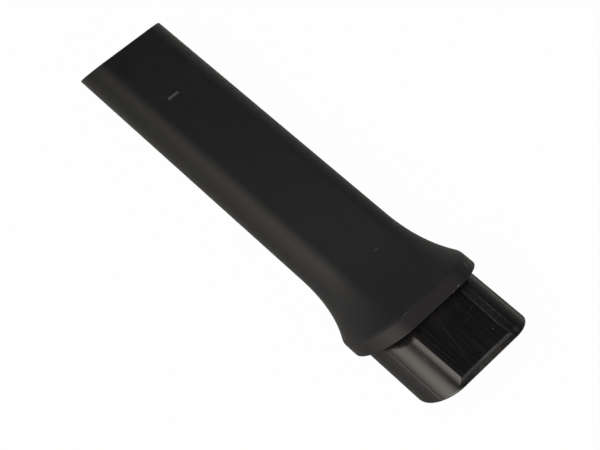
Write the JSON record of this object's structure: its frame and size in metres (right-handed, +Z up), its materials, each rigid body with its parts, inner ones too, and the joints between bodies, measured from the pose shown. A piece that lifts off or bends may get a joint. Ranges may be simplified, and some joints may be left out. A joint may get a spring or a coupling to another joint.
{
  "type": "vacuum crevice tool",
  "caption": "Flat hollow crevice tool for a vacuum cleaner: a slim round-sided tube with a slanted tip flares into a skirted collar with a push-fit spigot.",
  "frame": {"origin": "centre of the bounding box on the floor, with the tool lying at rest on its tip edge and collar", "axes": "+X along the tool from the suction tip to the spigot, +Y across its width, +Z up through its flat faces"},
  "size_m": [0.2236, 0.0586, 0.0348],
  "materials": {
    "black_plastic": "fine matt texture, polished on the spigot"
  },
  "bodies": {
    "root": {"crevice_tool": "black_plastic"}
  },
  "joints": []
}
